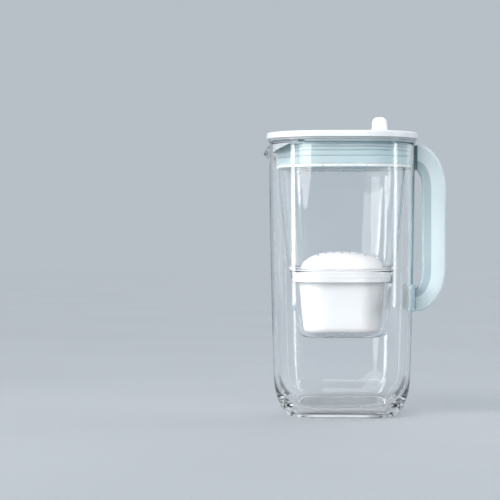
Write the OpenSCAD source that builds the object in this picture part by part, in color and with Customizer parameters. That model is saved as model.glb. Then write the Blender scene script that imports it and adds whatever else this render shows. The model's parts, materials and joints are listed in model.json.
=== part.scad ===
// Glass jug with a lift-out filter hopper, a C-shaped handle and a lid with a flip-up fill flap.
// Origin: centre of the jug's flat base. +Z is up, the spout points to -X and the handle to +X.

/* [Glass jug] */
// Length of the glass body at its mouth, spout side to handle side
jug_length = 148; // [146:1:150]
// Width of the glass body at its mouth
jug_width = 140; // [138:1:142]
// Radius of the upright corners at the mouth
corner_r = 52; // [50:1:54]
// Height of the glass rim
rim_z = 278; // [277:0.5:279]
// Thickness of the glass wall
glass_wall = 3; // [2.8:0.1:3.1]
// Thickness of the glass base
base_thick = 8; // [6:0.5:9]
// How far each side draws in from the mouth to the foot
side_taper = 4.5; // [3.5:0.5:4.5]
// Height of the rounded foot
foot_height = 42; // [36:1:44]
// How far the rounded foot draws in down to the flat base
foot_inset = 21; // [18:1:22]

/* [Spout] */
// How far the lip stands out past the glass body
spout_reach = 7; // [6:0.5:7]
// Half the width of the lip where it leaves the body
spout_half_width = 20; // [18:1:20]
// How far the rim drops from the mouth down to the tip of the lip
rim_dip = 9.8; // [9.5:0.1:10]

/* [Hopper] */
// Half the length of the hopper at its top
hopper_half = 64.8; // [64:0.2:65]
// How far the hopper draws in between its top and its deck
hopper_taper = 10.9; // [10.5:0.1:10.9]
// Height of the deck that holds the cartridge
deck_z = 150; // [150:0.5:151]
// Height of the underside of the hopper
hopper_bottom_z = 80.5; // [80:0.5:81]
// Thickness of the hopper wall
hopper_wall = 2; // [1.8:0.1:2]
// Thickness of the collar wall
collar_wall = 2.2; // [2:0.1:2.2]

/* [Lid] */
// Radius of the lid's upright corners
lid_corner_r = 55; // [54.5:0.5:55.5]
// Height of the lid's top face
lid_top_z = 289.3; // [289.3:0.1:289.6]
// Radius of the round fill flap
flap_r = 52; // [51:0.5:52]
// Distance of the flap hinge from the jug's centre, towards the spout
flap_hinge_back = 28; // [27:0.5:29]
// Height of the thumb tab above the lid
tab_height = 17.4; // [14:0.2:18]
// Length of the thumb tab at its root
tab_length = 17.4; // [15:0.2:18]
// Thickness of the thumb tab
tab_thick = 9; // [7:0.5:11]

/* [Handle] */
// Width of the handle across the hand
handle_width = 27; // [26:0.5:29]
// Distance of the handle's outer face from the jug's centre
handle_reach = 106.7; // [106:0.1:107.5]
// Distance of the handle's inner face from the jug's centre
handle_inner = 82.3; // [82:0.1:83]

/* [Cartridge] */
// Half the length of the straight middle of the cartridge
cartridge_mid = 18.5; // [18.5:0.1:18.6]
// Height of the top of the cartridge's dome
dome_top_z = 168.6; // [167:0.2:170]
// Height of the underside of the cartridge
cartridge_bottom_z = 84.5; // [84:0.5:85]

/* [Hidden] */
$fn = 96;
reach = 100;      // longer than half of any plan outline
slack = 0.01;

// Corner centres of the jug's plan outline
jug_cx = jug_length / 2 - corner_r;
jug_cy = jug_width / 2 - corner_r;
taper_top_z = 240;
foot_r = corner_r - side_taper;
inner_foot_drop = 36;
inner_foot_inset = 24;
arc_steps = 10;

// Spout
body_front_x = -jug_length / 2;
dip_start_x = body_front_x - 0.6;
lip_tip_x = body_front_x - spout_reach;
lip_z = rim_z - rim_dip;
lip_root_z = 257;
lip_shoulder_z = 264;
lip_shoulder_part = 0.8;   // the lip's half width at its shoulder, as a part of that at its root
lip_root_inset = 1.6;
lip_mid = [3.5, 13];       // where the lip's rim is fullest: reach past the body, half width
lip_tip_half = 2.2;
lip_tip_part = 0.4;        // wall at the tip, as a part of the lip's wall
lip_edge_r = 1.2;
lip_wall = 2.2;

// Hopper
hopper_cx = 20;
hopper_cy = 16;
hopper_top_z = 253.2;
hopper_r = hopper_half - hopper_cx;
deck_thick = 2.5;
flange_top_z = 256;
socket_r = 32.5;
socket_outer_r = 34.9;
ledge_z = 136.9;
ledge_r = 30.6;
ledge_thick = 2.4;
cup_side_r = 34;
cup_wall = 1.6;
cup_floor = 1.8;
cup_arc_r = 18.7;
cup_arc_z = 96;
cup_arc_a = 9.8;
outlet = [10, 5];
outlet_gap = [15, 16];

// Collar
collar_clear = 0.6;
collar_r = corner_r - glass_wall - collar_clear;
collar_bottom_z = 256.1;
collar_top_z = rim_z + 2.6;
flange_z = rim_z + 0.4;
wedge_angle = 60;
wedge_apex_x = -74.8;
wedge_blunt_x = -67.4;
wedge_edge_x = -42.5;      // just in front of where the wedge meets the collar's round side
groove_z = [263.6, 269, 272.6, 275.6];
groove_height = 1;
groove_depth = 0.5;
flange_over = 1.2;         // how far the collar's flange reaches past the glass

// Lid
skirt_z = collar_top_z + 0.2;
skirt_thick = 2;
lid_bottom_z = skirt_z + skirt_thick + 0.1;
lid_plate = 2;
lid_wall = 2.2;
edge_r = 2.2;
skirt_over = 1.5;          // how far the skirt's plate reaches past the glass
flap_gap = 0.6;            // open line round the flap
flap_x = 3;
flap_thick = 2.2;
flap_rib = [1.5, 2.6];     // thickness and height of the rib under the flap
tab_x = 38.6;
hinge_x = -flap_hinge_back;
hinge_z = lid_top_z - 2.7;
barrel_r = 2.4;
pin_r = 0.9;
pin_play = 0.06;
barrel_half = 31;
pin_length = 71;
lug = [4.8, 4.2];
lug_gap = 0.4;
hinge_half = barrel_half + lug[1] + 0.9;   // half of the slot for barrel and lugs
flap_back_x = hinge_x + 3.4;
fill_r = 45.5;
fill_back_x = hinge_x + 6.5;
ledge_top_z = lid_top_z - flap_thick - 0.2;
plug_clear = 0.6;
plug_wall = 1.6;
plug_bottom_z = 274;

// Spout flap
spout_hinge_x = -72.1;
spout_hinge_z = rim_z + 0.3;
spout_pin_r = 0.8;
spout_barrel_r = 1.3;
spout_plate = 1.2;
spout_round_z = 273.6;
window_half = 7;
hood_back = [-49, 278];    // the hood's lower edge rises in side view from its front to here
hood_front = [-72, 268];
ear = [5, 2.6, 1.7];       // length, thickness, and how far below the pin it starts

// Filter-change indicator
button_x = -45;
button_r = 3.3;
button_mid = 5;
case_r = 8.5;
case_mid = 11;
case_wall = 1.4;
case_bottom_z = 276.5;
case_top_z = 285;
case_floor = 1.2;
cover_r = [7.6, 6.4];      // outer disc and the plug inside the case
board_z = 281.4;
board_thick = 1;
cell_z = 278.2;
cell_r = 6.2;
cell_thick = 2;
button_flange = 1.2;

// Handle: centres of its elliptical corners, and its height and depth at each root
top_arc = [76, 232];
top_depth = [19.5, 46.5];
low_arc = [74, 150];
low_depth = [20, 43.3];
root_base_z = 60;     // below the handle
upper_root_x = 76.9;
lower_root_x = 75;
tongue_width = 17;
shell_part = 0.1;     // outer wall, as a part of the handle's depth
floor_part = [0.33, 0.42];
grip_wall = 2;
handle_wall = 2.6;
screw_z = [165, 217];
screw_r = 1.3;
screw_end = 6;        // distance of the screw's end from the handle's outer face
head_r = 2.7;
head_height = 1.6;
boss_r = 3.4;

// Saddles that hold the handle to the glass
upper_pad = [13, 252, 277];        // half width, low and high edge
lower_pad = [40, 107, 135];
lower_pad_off = [0.65, 2.6];       // its two faces, measured from the glass
pad_inset = [2, 1];                // how far the bonding pads stay inside the saddles
bond_off = [0.08, 0.6];

// Cartridge
flange_r = 31.9;
cap_flange_z = 137;
cap_flange_top_z = 148.6;
cup_top_r = 26;
cup_low_r = 21.7;
cup_low_z = 92;
cup_base_r = 15.5;
shell_thick = 1.6;
dome_half = [42.7, 27];
seal_z = 142;
seal_height = 1.4;
screen_z = 146.6;

// ---------- plan outlines ----------

// Rounded rectangle given by its corner centres and corner radius
module plan(cx, cy, r) {
    square([2 * cx, 2 * (cy + r)], center = true);
    square([2 * (cx + r), 2 * cy], center = true);
    for (sx = [-1, 1], sy = [-1, 1])
        translate([sx * cx, sy * cy])
            circle(r);
}

module jug_plan(r) {
    plan(jug_cx, jug_cy, r);
}

// Stadium, long along X
module oval_x(mid, r) {
    square([2 * mid, 2 * r], center = true);
    for (s = [-1, 1])
        translate([s * mid, 0])
            circle(r);
}

// Stadium, long along Y
module oval_y(mid, r) {
    rotate(90)
        oval_x(mid, r);
}

// A band or solid whose profile (distance from the corner centre, height) runs round a plan
module sweep_plan(cx, cy) {
    for (turn = [0, 180])
        rotate([0, 0, turn]) {
            translate([cx, cy, 0])
                rotate_extrude(angle = 90)
                    children();
            translate([-cx, cy, 0])
                rotate([0, 0, 90])
                    rotate_extrude(angle = 90)
                        children();
            translate([cx, 0, 0])
                rotate([90, 0, 0])
                    linear_extrude(2 * cy, center = true)
                        children();
            translate([0, cy, 0])
                rotate([90, 0, 90])
                    linear_extrude(2 * cx, center = true)
                        children();
        }
}

// The same round a stadium that is long along X
module sweep_oval(mid) {
    for (turn = [0, 180])
        rotate([0, 0, turn]) {
            translate([mid, 0, 0])
                rotate([0, 0, -90])
                    rotate_extrude(angle = 180)
                        children();
            rotate([90, 0, 90])
                linear_extrude(2 * mid, center = true)
                    children();
        }
}

module slab(z0, z1) {
    translate([0, 0, z0])
        linear_extrude(z1 - z0)
            children();
}

// Points of an elliptical arc
function arc(centre, a, b, from, to, steps) =
    [for (k = [0 : steps])
        let (t = from + (to - from) * k / steps)
        [centre[0] + a * cos(t), centre[1] + b * sin(t)]];

// ---------- glass jug ----------

// Corner radius of the glass at height z, above the foot
function glass_r(z) = z >= taper_top_z ? corner_r :
    corner_r - side_taper * pow((taper_top_z - z) / (taper_top_z - foot_height), 1.5);

function side_heights(z0, z1, steps) = [for (k = [0 : steps]) z0 + (z1 - z0) * k / steps];

side_z = side_heights(foot_height, taper_top_z, 5);

function glass_outer() = concat(
    arc([foot_r - foot_inset, foot_height], foot_inset, foot_height, -90, -6, arc_steps),
    [for (z = side_z) [glass_r(z), z]],
    [[corner_r, rim_z]]);

function glass_inner() = concat(
    [[corner_r - glass_wall, rim_z]],
    [for (k = [5 : -1 : 1]) [glass_r(side_z[k]) - glass_wall, side_z[k]]],
    arc([foot_r - glass_wall - inner_foot_inset, base_thick + inner_foot_drop],
        inner_foot_inset, inner_foot_drop, 0, -90, arc_steps));

// Side view of a cut, carried right across the jug
module side_cut(points) {
    rotate([90, 0, 0])
        linear_extrude(2 * reach, center = true)
            polygon(points);
}

// Everything above the rim, which drops along the lip
module above_rim() {
    side_cut([[reach, rim_z], [dip_start_x, rim_z], [lip_tip_x, lip_z], [-reach, lip_z],
              [-reach, rim_z + reach], [reach, rim_z + reach]]);
}

// The lip's outer form, and with inward above 0 the channel inside it
module lip_form(r, inward) {
    root_x = body_front_x + lip_root_inset + r / 2 + inward;
    mid = [body_front_x - lip_mid[0] + r + inward, lip_mid[1] - inward];
    tip_x = lip_tip_x + r + lip_tip_part * inward;
    root_half = spout_half_width - inward;
    hull() {
        for (s = [-1, 1]) {
            for (z = [lip_z + (r + inward) / 2, rim_z])
                translate([tip_x, s * lip_tip_half, z])
                    sphere(r, $fn = 16);
            for (z = [lip_shoulder_z + 3.5 + inward, rim_z])
                translate([mid[0], s * mid[1], z])
                    sphere(r, $fn = 16);
            for (place = [[1, rim_z], [lip_shoulder_part, lip_shoulder_z + inward]])
                translate([root_x, s * root_half * place[0], place[1]])
                    sphere(r, $fn = 16);
        }
        translate([root_x, 0, lip_root_z + 1.5 * inward])
            sphere(r, $fn = 16);
    }
}

module glass_jug() {
    color([0.86, 0.93, 0.96, 0.35])
    difference() {
        union() {
            sweep_plan(jug_cx, jug_cy)
                polygon(concat(glass_outer(), glass_inner(), [[0, base_thick], [0, 0]]));
            slab(0, base_thick)
                square([2 * jug_cx, 2 * jug_cy], center = true);
            lip_form(lip_edge_r, 0);
        }
        lip_form(lip_edge_r, lip_wall);
        above_rim();
    }
}

// ---------- handle ----------

// Edge of the handle in side view: part 0 is the inner edge and 1 the outer
function handle_edge(part) =
    let (x = handle_inner + (handle_reach - handle_inner) * part,
         tall = top_depth[0] + (top_depth[1] - top_depth[0]) * part,
         low = low_depth[0] + (low_depth[1] - low_depth[0]) * part)
    concat(arc(top_arc, x - top_arc[0], tall, 90, 0, 12),
           arc(low_arc, x - low_arc[0], low, 0, -90, 12));

function reversed(list) = [for (k = [len(list) - 1 : -1 : 0]) list[k]];

module handle_band(part0, part1, width) {
    rotate([90, 0, 0])
        linear_extrude(width, center = true)
            polygon(concat(handle_edge(part0), reversed(handle_edge(part1))));
}

module past_roots() {
    translate([0, -reach, low_arc[1]])
        cube([upper_root_x, 2 * reach, 2 * reach]);
    translate([0, -reach, root_base_z])
        cube([lower_root_x, 2 * reach, reach]);
}

module along_x(z, x0, x1, r) {
    translate([x0, 0, z])
        rotate([0, 90, 0])
            cylinder(h = x1 - x0, r = r);
}

function band_x(part) = handle_inner + (handle_reach - handle_inner) * part;

module handle_outer_shell() {
    color([0.72, 0.88, 0.92])
    difference() {
        union() {
            difference() {
                handle_band(0, 1, handle_width);
                handle_band(-0.2, 1 - shell_part, handle_width - 2 * handle_wall);
            }
            for (z = screw_z)
                along_x(z, band_x(floor_part[1]) + 0.1, handle_reach - 1, boss_r);
        }
        past_roots();
        for (z = screw_z)
            along_x(z, band_x(floor_part[1]) - 1, handle_reach - screw_end + 1, screw_r);
    }
}

module handle_inner_shell() {
    inner_width = handle_width - 2 * handle_wall - 0.2;
    color([0.62, 0.8, 0.86])
    difference() {
        handle_band(0.02, floor_part[1], inner_width);
        handle_band(-0.2, floor_part[0], inner_width - 2 * grip_wall);
        past_roots();
        for (z = screw_z)
            along_x(z, handle_inner, handle_reach, screw_r + 0.3);
    }
}

module upper_saddle() {
    color([0.3, 0.46, 0.5]) {
        translate([jug_length / 2 + bond_off[1], -upper_pad[0], upper_pad[1]])
            cube([upper_root_x - jug_length / 2 - bond_off[1] - 0.05, 2 * upper_pad[0],
                  upper_pad[2] - upper_pad[1]]);
        translate([upper_root_x - 0.2, -tongue_width / 2, 264.5])
            cube([7, tongue_width, 9]);
    }
}

// Part of a band round the glass on the handle side, between two offsets from the glass
module glass_band(z0, z1, off0, off1, half_width) {
    z = side_heights(z0, z1, 3);
    intersection() {
        sweep_plan(jug_cx, jug_cy)
            polygon(concat([for (h = z) [glass_r(h) + off1, h]],
                           [for (k = [3 : -1 : 0]) [glass_r(z[k]) + off0, z[k]]]));
        translate([0, -half_width, z0 - 1])
            cube([reach, 2 * half_width, z1 - z0 + 2]);
    }
}

module lower_saddle() {
    color([0.72, 0.88, 0.92]) {
        glass_band(lower_pad[1], lower_pad[2], lower_pad_off[0], lower_pad_off[1], lower_pad[0]);
        translate([lower_root_x - 1.2, -tongue_width / 2, 110.8])
            cube([8, tongue_width, 8]);
    }
}

module bond_pads() {
    color([0.9, 0.93, 0.93]) {
        translate([jug_length / 2 + bond_off[0], pad_inset[1] - upper_pad[0],
                   upper_pad[1] + pad_inset[1]])
            cube([bond_off[1] - bond_off[0], 2 * (upper_pad[0] - pad_inset[1]),
                  upper_pad[2] - upper_pad[1] - 2 * pad_inset[1]]);
        glass_band(lower_pad[1] + pad_inset[0], lower_pad[2] - pad_inset[0], bond_off[0],
                   bond_off[1], lower_pad[0] - pad_inset[0]);
    }
}

module handle_screws() {
    color([0.75, 0.76, 0.78])
    let (seat_x = band_x(floor_part[0]))
        for (z = screw_z) {
            along_x(z, seat_x - head_height, seat_x - 0.05, head_r);
            along_x(z, seat_x - 0.1, handle_reach - screw_end, screw_r);
        }
}

// ---------- hopper ----------

function tank_r(z) =
    hopper_r - hopper_taper * pow((hopper_top_z - z) / (hopper_top_z - deck_z), 1.5);

tank_z = side_heights(deck_z, hopper_top_z, 6);

function cup_outer() = concat(
    arc([cup_arc_r, cup_arc_z], cup_arc_a, cup_arc_z - hopper_bottom_z, -90, 0, 6),
    [[cup_side_r, ledge_z], [socket_outer_r, deck_z]]);

function cup_inner() = concat(
    [[socket_r, deck_z], [socket_r, ledge_z], [ledge_r, ledge_z],
     [ledge_r, ledge_z - ledge_thick]],
    arc([cup_arc_r, cup_arc_z], cup_arc_a - cup_wall, cup_arc_z - hopper_bottom_z - cup_floor,
        0, -90, 6));

module tank_plan(r) {
    plan(hopper_cx, hopper_cy, r);
}

module hopper_tank() {
    color([0.9, 0.95, 0.97, 0.45])
    difference() {
        union() {
            sweep_plan(hopper_cx, hopper_cy)
                polygon(concat([for (z = tank_z) [tank_r(z), z]],
                               [for (k = [6 : -1 : 0]) [tank_r(tank_z[k]) - hopper_wall, tank_z[k]]]));
            slab(deck_z - deck_thick, deck_z)
                tank_plan(tank_r(deck_z));
            slab(hopper_top_z, flange_top_z)
                difference() {
                    union() {
                        tank_plan(hopper_r);
                        collar_plan(0);
                    }
                    tank_plan(hopper_r - hopper_wall);
                }
            sweep_oval(cartridge_mid)
                polygon(concat(cup_outer(), cup_inner(),
                               [[0, hopper_bottom_z + cup_floor], [0, hopper_bottom_z]]));
        }
        slab(deck_z - deck_thick - 1, deck_z + 1)
            oval_x(cartridge_mid, socket_r);
        for (sx = [-1.5 : 1 : 1.5], sy = [-0.5, 0.5])
            translate([sx * outlet_gap[0], sy * outlet_gap[1], hopper_bottom_z])
                cube([outlet[0], outlet[1], 4 * cup_floor], center = true);
    }
}

// Wedge that points at the spout and closes the front of the collar
module wedge(inset) {
    slope = tan(wedge_angle);
    apex = wedge_apex_x + inset / sin(wedge_angle);
    blunt = wedge_blunt_x + inset;
    half = slope * (blunt - apex);
    polygon([[blunt, half], [apex + reach / slope, reach], [reach, reach],
             [reach, -reach], [apex + reach / slope, -reach], [blunt, -half]]);
}

module collar_plan(inset) {
    intersection() {
        jug_plan(collar_r - inset);
        wedge(inset);
    }
}

module pouring_collar() {
    color([0.7, 0.86, 0.92, 0.8])
    difference() {
        union() {
            slab(collar_bottom_z, flange_z + slack)
                collar_plan(0);
            slab(flange_z, collar_top_z)
                intersection() {
                    jug_plan(corner_r + flange_over);
                    wedge(0);
                }
        }
        slab(collar_bottom_z - 1, collar_top_z + 1)
            collar_plan(collar_wall);
        for (z = groove_z)
            slab(z, z + groove_height)
                difference() {
                    jug_plan(corner_r);
                    jug_plan(collar_r - groove_depth);
                }
    }
}

// ---------- lid ----------

// Disc of the flap's centre, cut straight on the hinge side
module flap_plan(r, back_x) {
    intersection() {
        translate([flap_x, 0])
            circle(r);
        translate([back_x, -reach])
            square([2 * reach, 2 * reach]);
    }
}

module lid_top() {
    top_round = arc([lid_corner_r - edge_r, lid_top_z - edge_r], edge_r, edge_r, 0, 90, 5);
    under_z = lid_top_z - lid_plate;
    color([0.96, 0.97, 0.97])
    difference() {
        union() {
            sweep_plan(jug_cx, jug_cy)
                polygon(concat([[lid_corner_r - lid_wall, lid_bottom_z],
                                [lid_corner_r, lid_bottom_z]],
                               top_round,
                               [[0, lid_top_z], [0, under_z],
                                [lid_corner_r - lid_wall, under_z]]));
            slab(under_z, lid_top_z)
                square([2 * jug_cx, 2 * jug_cy], center = true);
        }
        slab(under_z - 1, lid_top_z + 1) {
            flap_plan(flap_r + flap_gap, flap_back_x - 3 * flap_gap);
            translate([hinge_x - 3.6, -hinge_half])
                square([7, 2 * hinge_half]);
            translate([button_x, 0])
                oval_y(button_mid, button_r + 0.3);
        }
    }
}

// Hood that hangs inside the front of the mouth, down to a sloping lower edge
module spout_hood() {
    hood_r = corner_r - glass_wall - collar_clear - 0.1;
    intersection() {
        difference() {
            slab(hood_front[1], skirt_z + slack)
                difference() {
                    jug_plan(hood_r);
                    jug_plan(hood_r - plug_wall);
                }
            translate([-reach, -window_half, 0])
                cube([reach, 2 * window_half, skirt_z]);
        }
        side_cut([hood_back, hood_front, [-reach, hood_front[1]], [-reach, rim_z + reach],
                  [wedge_edge_x, rim_z + reach], [wedge_edge_x, hood_back[1]]]);
    }
    for (s = [-1, 1])
        difference() {
            translate([spout_hinge_x - 1.9, s * (window_half + ear[1] / 2) - ear[1] / 2,
                       spout_hinge_z - ear[2]])
                cube([ear[0], ear[1], skirt_z - spout_hinge_z + ear[2] + slack]);
            across_y(spout_hinge_x, spout_hinge_z, 2 * window_half + 1.8, spout_pin_r + pin_play);
        }
}

module across_y(x, z, length, r) {
    translate([x, 0, z])
        rotate([90, 0, 0])
            cylinder(h = length, r = r, center = true);
}

module lid_skirt() {
    color([0.72, 0.77, 0.8])
    difference() {
        union() {
            slab(skirt_z, skirt_z + skirt_thick)
                jug_plan(corner_r + skirt_over);
            slab(plug_bottom_z, skirt_z + slack)
                difference() {
                    collar_plan(collar_wall + plug_clear);
                    collar_plan(collar_wall + plug_clear + plug_wall);
                }
            slab(skirt_z, ledge_top_z)
                flap_plan(fill_r + 2, fill_back_x - 2);
            slab(ledge_top_z - 1.7, ledge_top_z)
                flap_plan(flap_r + 0.3, hinge_x + 3);
            for (s = [-1, 1])
                translate([hinge_x, s * (barrel_half + lug_gap + lug[1] / 2), hinge_z]) {
                    rotate([90, 0, 0])
                        cylinder(h = lug[1], r = barrel_r, center = true);
                    translate([0, 0, (skirt_z - hinge_z) / 2])
                        cube([lug[0], lug[1], hinge_z - skirt_z], center = true);
                }
            spout_hood();
        }
        slab(skirt_z - 1, ledge_top_z + 1)
            flap_plan(fill_r, fill_back_x);
        slab(skirt_z - 1, skirt_z + skirt_thick + 1)
            translate([button_x, 0])
                oval_y(case_mid, case_r + 0.1);
        across_y(hinge_x, hinge_z, pin_length, pin_r);
    }
}

module flap_hinge_pin() {
    color([0.8, 0.81, 0.83])
        across_y(hinge_x, hinge_z, pin_length, pin_r);
}

// Side view of the thumb tab: slightly tapered with round upper corners
module tab_profile() {
    round_r = 5.6;
    taper = 1;
    side = tab_length / 2 - taper - round_r;
    top_z = tab_height - round_r;
    polygon(concat([[tab_x - tab_length / 2, 0], [tab_x + tab_length / 2, 0]],
                   arc([tab_x + side, top_z], round_r, round_r, 8, 90, 6),
                   arc([tab_x - side, top_z], round_r, round_r, 90, 172, 6)));
}

module flip_flap() {
    under_z = lid_top_z - flap_thick;
    color([0.97, 0.98, 0.98])
    difference() {
        union() {
            slab(under_z, lid_top_z) {
                flap_plan(flap_r, flap_back_x);
                translate([hinge_x, -barrel_half])
                    square([10, 2 * barrel_half]);
            }
            slab(under_z - flap_rib[1], under_z + slack)
                difference() {
                    flap_plan(fill_r - 1, fill_back_x + 1);
                    flap_plan(fill_r - 1 - flap_rib[0], fill_back_x + 1 + flap_rib[0]);
                }
            across_y(hinge_x, hinge_z, 2 * barrel_half, barrel_r);
            translate([0, 0, lid_top_z - 0.2])
                rotate([90, 0, 0])
                    linear_extrude(tab_thick, center = true)
                        tab_profile();
        }
        across_y(hinge_x, hinge_z, pin_length, pin_r + pin_play);
    }
}

module spout_flap() {
    half = window_half - 0.4;
    color([0.97, 0.98, 0.98]) {
        translate([spout_hinge_x - spout_plate / 2, 0, 0])
            rotate([90, 0, 90])
                linear_extrude(spout_plate)
                    polygon(concat([[half, spout_hinge_z], [-half, spout_hinge_z]],
                                   arc([0, spout_round_z], half, half / 2, 180, 360, 12)));
        across_y(spout_hinge_x, spout_hinge_z, 2 * half, spout_barrel_r);
        across_y(spout_hinge_x, spout_hinge_z, 2 * window_half + 1.6, spout_pin_r);
    }
}

// ---------- filter-change indicator ----------

module at_button() {
    translate([button_x, 0, 0])
        children();
}

module indicator_housing() {
    color([0.9, 0.91, 0.92])
    at_button()
        difference() {
            slab(case_bottom_z, case_top_z)
                oval_y(case_mid, case_r);
            slab(case_bottom_z + case_floor, case_top_z + 1)
                oval_y(case_mid, case_r - case_wall);
            translate([0, 0, case_bottom_z - 1])
                cylinder(h = 4, r = cover_r[1] + 0.2);
        }
}

module indicator_board() {
    color([0.16, 0.42, 0.3])
    at_button() {
        slab(board_z, board_z + board_thick)
            oval_y(case_mid - 0.6, case_r - case_wall - 0.2);
        translate([0, 0, board_z + board_thick - 0.1]) {
            cylinder(h = 2.6, r = 1.8);
            for (s = [-1, 1])
                translate([-1.5, s * 8 - 2, 0])
                    cube([3, 4, 1.1]);
        }
    }
}

module coin_cell() {
    color([0.78, 0.79, 0.8])
    at_button()
        translate([0, 0, cell_z])
            cylinder(h = cell_thick, r = cell_r);
}

module indicator_cover() {
    color([0.86, 0.87, 0.88])
    at_button()
        difference() {
            union() {
                translate([0, 0, case_bottom_z - case_floor])
                    cylinder(h = case_floor - 0.05, r = cover_r[0]);
                translate([0, 0, case_bottom_z - 0.2])
                    cylinder(h = 1.6, r = cover_r[1]);
            }
            translate([-5, -0.8, case_bottom_z - case_floor - 0.1])
                cube([10, 1.6, 0.9]);
        }
}

module indicator_button() {
    color([0.6, 0.63, 0.65])
    at_button() {
        slab(case_top_z + 1, lid_top_z - 0.2)
            oval_y(button_mid, button_r);
        slab(case_top_z + 0.8, case_top_z + 1.8)
            oval_y(button_mid, button_r + button_flange);
    }
}

// ---------- cartridge ----------

function cup_side(inset) = [[cup_top_r - inset, cap_flange_z + 3], [cup_low_r - inset, cup_low_z]];

module cartridge_cup() {
    outer = concat(arc([cup_base_r, cup_low_z], cup_low_r - cup_base_r,
                       cup_low_z - cartridge_bottom_z, -90, 0, 5),
                   [cup_side(0)[0]]);
    inner = concat(cup_side(shell_thick),
                   arc([cup_base_r, cup_low_z], cup_low_r - cup_base_r - shell_thick,
                       cup_low_z - cartridge_bottom_z - shell_thick, -10, -90, 4));
    color([0.95, 0.96, 0.98])
    difference() {
        sweep_oval(cartridge_mid)
            polygon(concat(outer, inner, [[0, cartridge_bottom_z + shell_thick],
                                          [0, cartridge_bottom_z]]));
        for (sx = [-2 : 2], sy = [-1, 1])
            translate([sx * 9, sy * 6, cartridge_bottom_z])
                cube([3, 9, 8], center = true);
    }
}

// Pillow form of the cartridge's top
module dome(inset) {
    a = dome_half[0] - inset;
    b = dome_half[1] - inset;
    rise = dome_top_z - cap_flange_top_z - inset;
    intersection() {
        rotate([90, 0, 0])
            linear_extrude(2 * reach, center = true)
                polygon(arc([0, cap_flange_top_z], a, rise, 0, 180, 24));
        rotate([90, 0, 90])
            linear_extrude(2 * reach, center = true)
                polygon(arc([0, cap_flange_top_z], b, rise + 2, 0, 180, 20));
        slab(cap_flange_top_z, dome_top_z + 1)
            oval_x(a - b, b);
    }
}

module cartridge_cap() {
    slot = [2, 12];
    color([0.95, 0.96, 0.98])
    difference() {
        union() {
            slab(cap_flange_z, cap_flange_top_z)
                oval_x(cartridge_mid, flange_r);
            translate([0, 0, -slack])
                dome(0);
        }
        slab(cap_flange_z - 1, cap_flange_z + 3.1)
            oval_x(cartridge_mid, cup_top_r + 0.1);
        slab(cap_flange_z - 1, cap_flange_z + 1.6)
            difference() {
                oval_x(cartridge_mid, flange_r - 1.6);
                oval_x(cartridge_mid, cup_top_r + 1.7);
            }
        slab(cap_flange_z + 3, cap_flange_top_z + slack)
            oval_x(cartridge_mid, cup_low_r);
        dome(shell_thick);
        for (sx = [-3 : 3], sy = [-1, 1])
            translate([sx * 8, sy * 11, dome_top_z])
                cube([slot[0], slot[1], 60], center = true);
    }
}

module cartridge_seal() {
    color([0.82, 0.85, 0.87])
    slab(seal_z, seal_z + seal_height)
        difference() {
            oval_x(cartridge_mid, flange_r + 0.3);
            oval_x(cartridge_mid, flange_r + slack);
        }
}

module top_screen() {
    color([0.88, 0.89, 0.9])
    slab(screen_z, screen_z + 0.6)
        oval_x(cartridge_mid, cup_low_r - 0.2);
}

module bottom_screen() {
    color([0.88, 0.89, 0.9])
    slab(cartridge_bottom_z + shell_thick + 0.1, cartridge_bottom_z + shell_thick + 1)
        oval_x(cartridge_mid, cup_base_r - 0.6);
}

module filter_media() {
    base_z = cup_low_z;
    color([0.28, 0.27, 0.26])
    sweep_oval(cartridge_mid)
        polygon([[0, base_z], [cup_low_r - shell_thick - 0.3, base_z],
                 [cup_top_r - shell_thick - 0.9, cap_flange_z - 3], [0, cap_flange_z - 3]]);
}

glass_jug();
handle_outer_shell();
handle_inner_shell();
upper_saddle();
lower_saddle();
bond_pads();
handle_screws();
hopper_tank();
pouring_collar();
lid_top();
lid_skirt();
flap_hinge_pin();
flip_flap();
spout_flap();
indicator_housing();
indicator_board();
coin_cell();
indicator_cover();
indicator_button();
cartridge_cup();
cartridge_cap();
cartridge_seal();
top_screen();
bottom_screen();
filter_media();
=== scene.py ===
"""Looks of the glass water filter jug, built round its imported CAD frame.

Pieces are drawn in millimetres and scaled to metres as their meshes are made.
+Z is up, the spout points to -X and the handle to +X, as in the frame.
"""

import json
import math

import bmesh
import bpy
import numpy as np
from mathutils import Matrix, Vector

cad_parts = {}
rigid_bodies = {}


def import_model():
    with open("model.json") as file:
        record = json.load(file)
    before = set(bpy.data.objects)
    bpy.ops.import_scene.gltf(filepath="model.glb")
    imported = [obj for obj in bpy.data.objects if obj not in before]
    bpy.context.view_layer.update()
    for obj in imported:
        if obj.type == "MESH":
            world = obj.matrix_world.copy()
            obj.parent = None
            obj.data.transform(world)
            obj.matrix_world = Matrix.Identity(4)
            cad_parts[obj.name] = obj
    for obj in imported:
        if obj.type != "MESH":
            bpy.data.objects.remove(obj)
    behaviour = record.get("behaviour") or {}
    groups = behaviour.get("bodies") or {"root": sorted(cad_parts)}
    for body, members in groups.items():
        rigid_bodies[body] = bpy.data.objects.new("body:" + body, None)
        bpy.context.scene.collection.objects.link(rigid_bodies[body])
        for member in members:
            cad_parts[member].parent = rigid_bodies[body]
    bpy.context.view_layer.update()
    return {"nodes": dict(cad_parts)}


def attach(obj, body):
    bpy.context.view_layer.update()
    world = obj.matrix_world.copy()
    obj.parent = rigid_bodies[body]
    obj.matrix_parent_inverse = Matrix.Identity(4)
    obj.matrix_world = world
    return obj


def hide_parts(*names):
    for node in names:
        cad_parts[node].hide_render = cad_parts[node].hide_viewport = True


for thing in list(bpy.data.objects):
    bpy.data.objects.remove(thing)
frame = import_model()
nodes = frame["nodes"]

MM = 0.001
CORNER, LONG, WIDE = 16, 8, 34  # points on each corner, long side and wide side of a plan

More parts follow.
